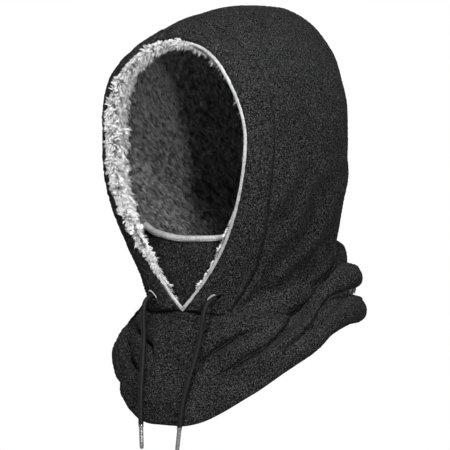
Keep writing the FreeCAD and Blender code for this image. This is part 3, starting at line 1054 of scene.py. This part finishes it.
def facing():
    turns, steps = np.linspace(-1.997, 1.997, 420), np.linspace(0.05, FACING_REACH, 34)
    turn, across = np.meshgrid(turns, steps, indexing="ij")
    base = band(turn, across)
    normals = outward(base)
    depth = FLEECE + PLY_GAP + FACING_BULGE * np.sin(math.pi * across / FACING_REACH) ** 2
    depth = depth - (np.minimum(slump(base)[0], 0) - 1.0) * smooth(0.9, 1.1, across)
    top = base - normals * depth[..., None]
    lumps = 0.5 * waves(base, 7, 81)
    under = base - normals * (depth + PLUSH * (0.45 + 0.55 * smooth(0.0, 0.3, across)) + lumps)[..., None]
    ground = closed_sheet("facing", top, under, "hood", LIGHT_BACKING)
    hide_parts("plush_facing")
    # on the wearer's right and over the top the nap spills over the rim; elsewhere it lies in
    toward_rim = -unit(np.gradient(base, axis=1))
    spill = (1 - smooth(0.05, 0.3, turn)) * smooth(-1.85, -1.6, turn)
    near_rim = (1 - smooth(0.0, 0.5, across)) * spill
    near_back = smooth(1.0, 1.3, across)
    nap = toward_rim * (0.15 + 1.1 * near_rim - 0.9 * near_back)[..., None]
    nap = nap + vec(0.0, 0.0, -0.8 * (1 - near_rim))
    hair = pile(
        "facing_pile", under, -normals, nap, 2.0, 5, 8.2, 0.3, 0.4, 90,
        "hood", PLUSH_LIGHT,
    )
    return ground, hair


def fringe(name, first, last, start, length):
    """Plush that curls past the rim from one turn to another: over it from start 0, inside it from 1."""
    turn, over = np.meshgrid(np.linspace(first, last, 300), np.linspace(start, 2, 9), indexing="ij")
    line = band(turn, 0.0)
    normals = outward(line)
    inward = -unit(band(turn, 0.25) - line)
    root = line + inward * np.minimum(4.6 * over - 0.4, 2.4)[..., None]
    root = root - normals * (0.6 + 3.0 * over)[..., None]
    rise, lean = np.maximum(1 - 0.55 * over, 0), lerp(-0.1, 0.8, over / 2)
    grow = unit(normals * rise[..., None] + inward * lean[..., None])
    nap = vec(0.0, 0.0, -0.35) + inward * 0.25

    def shorter(i, j):
        return (0.15 + 0.85 * smooth(0.0, 0.12, i)) * (1 - 0.8 * smooth(0.88, 1.0, i))

    return pile(
        name, root, grow, nap, 1.0, 4, length, 0.25, 0.5, 95,
        "hood", PLUSH_LIGHT, keep=shorter,
    )


casing_piece, casing_skin, casing_normals = casing()
facing_piece, facing_pile = facing()
fringe("facing_fringe_right", -1.86, 0.16, 0, 5.0)
fringe("facing_fringe_left", 1.42, 1.96, 1.2, 3.6)


def piping():
    """A narrow satin strip folded over the rim."""
    turn = np.linspace(-1.999, 1.999, 900)
    line = band(turn, 0.0)
    normals = outward(line)
    way = unit(np.gradient(line, axis=0))
    inside = unit(np.cross(normals, way))
    toward = band(turn, 0.1) - line
    inside = inside * np.where((inside * toward).sum(-1, keepdims=True) > 0, -1.0, 1.0)
    sunk = smooth(-1.99, -1.7, turn) * (1 - smooth(0.0, 0.3, turn))
    lap = 1.0 * smooth(-1.9, -2.0, turn) - 1.0 * smooth(1.9, 2.0, turn)
    centre = line - normals * (1.4 + lap + 1.6 * sunk)[:, None] + inside * (0.6 * sunk)[:, None]
    angle = np.arange(20) * 2 * math.pi / 20
    run = line_run(line)[:, None]
    wide = 2.0 - 0.7 * sunk[:, None] + 0.07 * np.sin(run * 2 * math.pi / 1.7) + 0.08 * np.sin(run / 13.0)
    thick = 1.5 + 0.06 * np.sin(run * 2 * math.pi / 1.7 + 1.0)
    # a superellipse section, flatter on the outer face
    c, s = np.cos(angle), np.sin(angle)
    across = np.sign(c) * np.abs(c) ** 0.75 * wide
    proud = np.sign(s) * np.abs(s) ** 0.85 * thick
    skin = centre[:, None] - inside[:, None] * (across + 0.1)[..., None] + normals[:, None] * proud[..., None]
    points, quads, caps = capped(skin, line[0], line[-1])
    piece = build_mesh("opening_piping", points, [quads, caps], "hood", SATIN)
    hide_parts("face_piping")


piping()


# Neck and bib ----------------------------------------------------------------


def neck_relief(base):
    out, up = slump(base)
    return out + bib_folds(base) + 0.8 * waves(base, 60, 101) + 0.4 * waves(base, 26, 102), up


def hem_curl(angle, hem):
    """The hem turns in a little round the back."""
    return 5 * smooth(70, 110, np.abs(np.degrees(angle))) * np.exp(-np.maximum(hem, 0) / 4)


def slid(base, up):
    """The cloth pushed down its own slope, so that a roll hangs over the crease below it."""
    return base - unit(np.gradient(base, axis=1)) * up[..., None]


def neck_cloth():
    drops = np.concatenate([[-0.05, -0.03, -0.012], np.linspace(0, 1, 112)])
    angle, drop = np.meshgrid(np.linspace(-math.pi, math.pi, 561)[:-1], drops, indexing="ij")
    base = neck(angle, drop)
    centre_rise = 3.5 * swell(np.degrees(angle), 0, 14) * (1 - np.clip(drop, 0, 1)) ** 6
    base = base + vec(0.0, 0.0, centre_rise)
    normals = grid_normals(base, wrap=True)
    normals = facing_out(normals, vec(base[..., 0], base[..., 1] - MID, 0 * base[..., 0]))
    run = run_lengths(base, 1)
    top = run - run[:, 3:4]
    hem = run[:, -1:] - run
    shape, up = neck_relief(base)
    base = slid(base, up)
    tuck = 3.2 * smooth(0.5, -2.0, top)
    shape = shape - tuck - hem_curl(angle, hem)
    skin = shape + nubs(base, 111) - 1.6 * np.exp(-((top / 1.6) ** 2)) + 0.5 * swell(top, 5, 3)
    skin = skin - 0.9 * np.exp(-((hem / 1.6) ** 2)) - 0.5 * swell(hem, 19, 1.2) + 0.5 * swell(hem, 9, 7)
    outer = base + normals * skin[..., None]
    inner = base + normals * (shape - FLEECE)[..., None]
    piece = closed_sheet("neck", outer, inner, "hood", FLEECE_MAT, wrap=True)
    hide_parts("neck_panel")
    return piece, outer, normals


def neck_inside():
    angles, drops = np.linspace(-math.pi, math.pi, 401)[:-1], np.linspace(0, 0.985, 76)
    angle, drop = np.meshgrid(angles, drops, indexing="ij")
    base = neck(angle, drop)
    normals = grid_normals(base, wrap=True)
    normals = facing_out(normals, vec(base[..., 0], base[..., 1] - MID, 0 * base[..., 0]))
    shape, up = neck_relief(base)
    base = slid(base, up)
    run = run_lengths(base, 1)
    shape = shape - 0.45 * np.abs(up) - FLEECE - PLY_GAP - 3.0 * smooth(0.06, 0.0, drop)
    shape = shape - hem_curl(angle, run[:, -1:] - run)
    outer = base + normals * shape[..., None]
    thick = PLUSH * (0.35 + 0.65 * smooth(1.0, 0.93, drop))
    inner = base + normals * (shape - thick + 0.5 * waves(base, 6, 121))[..., None]
    ground = closed_sheet("neck_lining_ground", outer, inner, "hood", BACKING_PAINTED_SHADE, wrap=True)
    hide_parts("neck_lining")
    nap = vec(0.0, 0.0, -1.0) + 0.0 * base

    def shorter(i, j):
        return 1 - 0.85 * smooth(0.72, 0.93, j)

    hair = pile(
        "neck_lining_pile", inner[:, :64], -normals[:, :64], nap[:, :64], 3.3, 4, 6.0, 0.36, 0.3, 130,
        "hood", PLUSH_PAINTED_SHADE, keep=shorter,
    )
    return ground, hair


neck_piece, neck_skin, neck_normals = neck_cloth()
neck_ground, neck_pile = neck_inside()


# Mouth panel -----------------------------------------------------------------


def mouth_grid(rows, columns):
    share, v = np.meshgrid(np.linspace(-1, 1, rows), np.linspace(0, 1, columns), indexing="ij")
    z = lerp(MOUTH_FOOT, mouth_top(share), v)
    x = share * mouth_reach(z)
    return share, v, vec(x, mouth_y(x, z), z)


def mouth():
    share, v, base = mouth_grid(170, 84)
    forward = vec(0.0, -1.0, 0.0) + 0.0 * base
    slack = 0.9 * waves(base, 45, 141) * (1 - np.abs(share)) + 0.25 * waves(base, 14, 142)
    slack = slack * (1 - smooth(0.8, 0.94, v))
    outer = base + forward * (slack + nubs(base, 143))[..., None]
    inner = base + forward * (slack - FLEECE)[..., None]
    front = closed_sheet("mouth_front", outer, inner, "hood", FLEECE_MAT)
    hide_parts("mouth_panel")
    outer = base + forward * (slack - FLEECE - PLY_GAP)[..., None]
    inner = base + forward * (slack - 2 * FLEECE - PLY_GAP + 0.15 * waves(base, 5, 144))[..., None]
    back = closed_sheet("mouth_back", outer, inner, "hood", MESH_CLOTH)
    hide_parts("mouth_panel_lining")
    for piece in (front, back):
        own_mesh(piece)
    return front, back


def binding():
    """Satin folded over the panel's upper edge."""
    span = 0.97 * float(mouth_reach(np.array(MOUTH_TOP)))
    xs = np.linspace(-span, span, 220)
    share = xs / (span / 0.97)
    # the fold's section: distance back from the panel's face, and height above its edge
    fold = [(-1.0, -3.8), (-1.8, -3.3), (-1.9, -2.0), (-1.9, -0.2), (-1.2, 1.2), (0.6, 1.9), (2.6, 2.0)]
    fold += [(4.8, 1.8), (6.0, 0.9), (6.3, -0.8), (6.2, -3.0), (5.9, -4.8), (5.3, -5.2), (4.7, -4.6)]
    fold += [(4.8, -1.6), (4.4, 0.3), (2.6, 0.7), (0.4, 0.5), (-0.5, -0.8), (-0.6, -3.2)]
    fold = np.array(fold)
    ring = np.arange(len(fold))
    fine = np.linspace(0, len(fold), 61)[:-1]
    back = np.interp(fine, np.append(ring, len(fold)), np.append(fold[:, 0], fold[0, 0]))
    rise = np.interp(fine, np.append(ring, len(fold)), np.append(fold[:, 1], fold[0, 1]))
    x = xs[:, None] + 0.0 * back[None, :]
    ripple = 0.18 * np.sin(x * 2 * math.pi / 4.2 + 0.8 * np.sin(x / 9.0)) * (np.abs(rise) / 5)[None, :]
    y = mouth_y(x, MOUTH_TOP) + back[None, :] + ripple
    z = mouth_top(share)[:, None] + rise[None, :] + 0.25 * np.sin(x / 7.0)
    skin = vec(x, y, z)
    rows, sides = skin.shape[:2]
    quads = ring_quads(rows, sides)
    points = skin.reshape(-1, 3)
    # each end is shut by quads across the strip's two faces
    ends = []
    for start in (0, (rows - 1) * sides):
        half = sides // 2
        a = np.arange(half - 1)
        quad = np.stack([start + a, start + a + 1, start + sides - 2 - a, start + sides - 1 - a], axis=-1)
        ends.append(quad if start == 0 else quad[:, ::-1])
    quads = np.concatenate([quads] + ends)
    if volume(points, quads) < 0:
        quads = quads[:, ::-1]
    piece = build_mesh("mouth_binding", points, [quads], "mouth_panel_edge", SATIN)
    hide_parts("mouth_panel_binding")
    x = np.linspace(-span + 1, span - 1, 400)
    line = vec(x, mouth_y(x, MOUTH_TOP) - 2.0, mouth_top(x / (span / 0.97)) - 2.3)
    up = vec(0.0, -1.0, 0.0) + 0.0 * line
    row = stitches("mouth_binding_stitches", line, up, 1.9, 0.8, 0.24, "mouth_panel_edge", THREAD)
    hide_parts("binding_stitching")


mouth_front, mouth_back = mouth()
binding()


# Stitching -------------------------------------------------------------------


def seam_rows():
    """Rows of thread beside the casing's seam, the neck seam, the hem and over the centre seam."""
    rows = []
    column = int(0.93 / 0.998 * 33)
    line = casing_skin[:, column] + casing_normals[:, column] * 0.15
    rows.append(("casing_stitches", "casing_stitching", line, casing_normals[:, column], 2.6, 1.1))
    line = np.concatenate([neck_skin[:, 8], neck_skin[:1, 8]])
    up = np.concatenate([neck_normals[:, 8], neck_normals[:1, 8]])
    rows.append(("neck_seam_stitches", "neck_seam_stitching", line + 0.15 * up, up, 2.6, 1.1))
    run = run_lengths(neck_skin, 1)
    at = np.argmin(np.abs(run[:, -1:] - run - 19), axis=1)
    index = np.arange(len(at))
    line, up = neck_skin[index, at], neck_normals[index, at]
    line = np.concatenate([line, line[:1]])
    up = np.concatenate([up, up[:1]])
    rows.append(("hem_stitches", "hem_stitching", line + 0.1 * up, up, 2.6, 1.1))
    back = left_skin[-1, 8:]
    crown = left_skin[::-1, -1]
    line = np.concatenate([back, crown])
    up = np.concatenate([left_normals[-1, 8:], left_normals[::-1, -1]])
    rows.append(("centre_stitches", "hood_centre_stitching", line + 1.1 * up, up, 2.0, 1.4))
    for name, cad, line, up, dash, gap in rows:
        piece = stitches(name, line, up, dash, gap, 0.26, "hood", THREAD)
        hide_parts(cad)


seam_rows()


# Drawcord tails --------------------------------------------------------------

# The left tail's route from its buttonhole down over the bib; the right one mirrors it
TAIL_ROUTE = [
    (0.0410, -0.0660, -0.2813),
    (0.0406, -0.0745, -0.2832),
    (0.0400, -0.0808, -0.2898),
    (0.0388, -0.0834, -0.3020),
    (0.0369, -0.0844, -0.3200),
    (0.0341, -0.0888, -0.3400),
    (0.0309, -0.0950, -0.3605),
    (0.0280, -0.0999, -0.3805),
    (0.0262, -0.1022, -0.3985),
    (0.0252, -0.1028, -0.4095),
]


def spline_points(name, route):
    """Points along the smooth line that a route's control points give."""
    curve = bpy.data.curves.new(name, "CURVE")
    curve.dimensions = "3D"
    curve.resolution_u = 24
    spline = curve.splines.new("NURBS")
    spline.points.add(len(route) - 1)
    for point, place in zip(spline.points, route):
        point.co = (*place, 1.0)
    spline.order_u = 3
    spline.use_endpoint_u = True
    holder = bpy.data.objects.new(name, curve)
    bpy.context.scene.collection.objects.link(holder)
    mesh = bpy.data.meshes.new_from_object(holder)
    points = np.array([tuple(v.co) for v in mesh.vertices])
    bpy.data.objects.remove(holder)
    bpy.data.curves.remove(curve)
    bpy.data.meshes.remove(mesh)
    return points


def evenly(points, step):
    run = line_run(points)
    at = np.linspace(0, run[-1], max(int(run[-1] / step), 2))
    return np.stack([np.interp(at, run, points[:, k]) for k in range(3)], axis=-1)


def to_mm(p):
    return p * 1000.0 + np.array([0.0, 0.0, CROWN_CONTACT])


def braid(run, angle):
    """A flat-woven round cord: two sets of strands that cross."""
    left = np.cos(6 * angle + run * 2 * math.pi / 4.4)
    right = np.cos(6 * angle - run * 2 * math.pi / 4.4)
    return 1 + 0.055 * np.maximum(left, right) - 0.03


def cord_tail(side):
    name = "left" if side > 0 else "right"
    route = [(side * x, y, z) for x, y, z in TAIL_ROUTE]
    path = spline_points(f"tail_{name}_line", route)
    fine = evenly(path, 0.00045)
    skin, quads, caps = tube(to_mm(fine), CORD * 500, 28, braid)
    cord = build_mesh(f"tail_{name}", skin, [quads, caps], f"cord_tail_{name}", CORD_MAT)
    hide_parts(f"cord_{name}")

    end = to_mm(path[-1])
    way = unit(to_mm(np.array(route[-1])) - to_mm(np.array(route[-2])))
    over = unit(np.cross(way, np.array([0.0, 1.0, 0.0])))
    front = np.cross(over, way)
    # the tip's outline: distance along, radius
    outline = [(-1.5, 2.3), (-1.4, 2.62), (0.2, 2.66), (0.8, 2.45), (1.4, 2.25), (4.0, 2.2)]
    outline += [(4.6, 2.0), (5.2, 2.2), (20.0, 2.15), (21.6, 2.0), (22.5, 1.5), (22.9, 0.7)]
    outline = np.array(outline)
    along = np.linspace(-1.5, 22.9, 130)
    width = np.interp(along, outline[:, 0], outline[:, 1])
    angle = np.arange(32) * 2 * math.pi / 32
    pinch = np.exp(-(((along[:, None] - 7.2) / 1.1) ** 2))
    dent = pinch * np.exp(-(((angle[None, :]) / 0.45) ** 2))
    dent = dent + pinch * np.exp(-(((angle[None, :] - 2 * math.pi) / 0.45) ** 2))
    lap = 0.10 * np.exp(-(((angle[None, :] - 1.6) / 0.12) ** 2))
    radius = width[:, None] - 0.75 * dent + lap
    ring = np.cos(angle)[:, None] * front[None] + np.sin(angle)[:, None] * over[None]
    skin = end + along[:, None, None] * way + radius[..., None] * ring[None]
    points, quads, caps = capped(skin, end - way * 1.5, end + way * 23.0)
    tip = build_mesh(f"tip_{name}", points, [quads, caps], f"cord_tail_{name}", METAL)
    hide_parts(f"aglet_{name}")


def buttonhole(side):
    """Close satin stitches round the slit, standing proud of the casing; their upper half is lightened as a
    painted highlight.
    """
    name = "left" if side > 0 else "right"
    centre, along, up, out = slit_frame(side)
    centre = centre + out * 3.4
    turns = np.linspace(0, 2 * math.pi, 63)[:-1]
    parts = []
    for t in turns:
        c, s = math.cos(t), math.sin(t)
        radial = np.array([7.3 * c, 3.1 * s * (1 if s > 0 else 0.8)])
        tip = np.array([8.9 * c, 4.7 * s * (1 if s > 0 else 0.8)])
        rows = []
        for q in np.linspace(0, 1, 6):
            a, b = lerp(radial, tip, q)
            arch = 0.55 * math.sin(math.pi * q)
            surface = -0.012 * a * a - 0.2
            rows.append(centre + along * a + up * b + out * (arch + surface))
        parts.append(tube(np.array(rows), 0.36, 6))
    points, faces = joined(parts)
    # painted highlight: the stitches on the slit's upper side get the paler thread colour
    lit = np.repeat(smooth(0.1, 0.5, np.sin(turns)), len(points) // len(turns))
    piece = build_mesh(f"slit_{name}", points, faces, "hood", WELT, {"tone": lit})
    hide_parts(f"buttonhole_{name}")


for side in (1, -1):
    cord_tail(side)
for side in (1, -1):
    buttonhole(side)

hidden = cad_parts["drawcord_in_casing"]
hidden.data.materials.clear()
hidden.data.materials.append(CORD_MAT)


# Studio ----------------------------------------------------------------------


def paper_floor():
    low = cad_box[0][2] * 1000 + CROWN_CONTACT - 260
    ring = np.arange(96) * 2 * math.pi / 96
    radii = np.array([400.0, 1500.0, 6000.0, 20000.0])
    rim_points = vec(radii[:, None] * np.cos(ring), radii[:, None] * np.sin(ring), low)
    points = np.concatenate([rim_points.reshape(-1, 3), [[0.0, 0.0, low]]])
    i, j = np.meshgrid(np.arange(len(radii) - 1), np.arange(96), indexing="ij")
    k = (j + 1) % 96
    quads = np.stack([i * 96 + j, (i + 1) * 96 + j, (i + 1) * 96 + k, i * 96 + k], axis=-1).reshape(-1, 4)
    j = np.arange(96)
    middle = np.stack([np.full(96, len(points) - 1), j, (j + 1) % 96], axis=-1)
    piece = build_mesh("studio_floor", points, [quads, middle], None, floor_material("pale_floor"))


def area_light(name, azimuth_deg, elevation_deg, distance, size, power, target):
    light = bpy.data.lights.new(name, "AREA")
    light.shape = "DISK"
    light.size = size
    light.energy = power
    lamp = bpy.data.objects.new(name, light)
    bpy.context.scene.collection.objects.link(lamp)
    a, e = math.radians(azimuth_deg), math.radians(elevation_deg)
    way = np.array([math.sin(a) * math.cos(e), -math.cos(a) * math.cos(e), math.sin(e)])
    lamp.location = np.array(target) + way * distance
    look(lamp, way)


def look(thing, way):
    """Turns a camera or lamp so that it looks back along way."""
    right = unit(np.cross([0, 0, 1], way))
    up = np.cross(way, right)
    matrix = np.eye(4)
    matrix[:3, 0], matrix[:3, 1], matrix[:3, 2] = right, up, way
    matrix[:3, 3] = thing.location
    thing.matrix_world = Matrix(matrix.tolist())


CAMERA_AZIMUTH = 40.0
CAMERA_ELEVATION = 3.0
CAMERA_DISTANCE = 6.0
VIEW_SIZE = 0.4535

turn, rise = math.radians(CAMERA_AZIMUTH), math.radians(CAMERA_ELEVATION)
camera_way = np.array(
    [math.sin(turn) * math.cos(rise), -math.cos(turn) * math.cos(rise), math.sin(rise)]
)
centre = np.array([-0.0011, -0.0010, -0.2118])
camera_data = bpy.data.cameras.new("camera")
camera_data.lens = 18.0 / (VIEW_SIZE / 2 / CAMERA_DISTANCE)
camera_data.sensor_width = 36.0
camera_data.clip_end = 50.0
camera = bpy.data.objects.new("camera", camera_data)
bpy.context.scene.collection.objects.link(camera)
camera.location = centre + camera_way * CAMERA_DISTANCE
look(camera, camera_way)
bpy.context.scene.camera = camera

paper_floor()
area_light("key", 54, 13, 1.8, 0.14, 34, centre)
area_light("top", 34, 52, 1.8, 0.4, 62, centre)
area_light("rim", 170, 30, 1.8, 0.8, 10, centre)

world = bpy.data.worlds.new("studio")
world.use_nodes = True
tree = world.node_tree
way = node(tree, "ShaderNodeTexCoord").outputs["Generated"]
height = node(tree, "ShaderNodeSeparateXYZ", {"Vector": way}).outputs["Z"]
sky = ramp(tree, height, [(0.0, 1.0), (0.05, 1.0), (0.20, 0.15)])
tree.links.new(sky, tree.nodes["Background"].inputs["Color"])
tree.nodes["Background"].inputs["Strength"].default_value = 1.0
bpy.context.scene.world = world
bpy.context.scene.view_settings.view_transform = "Standard"
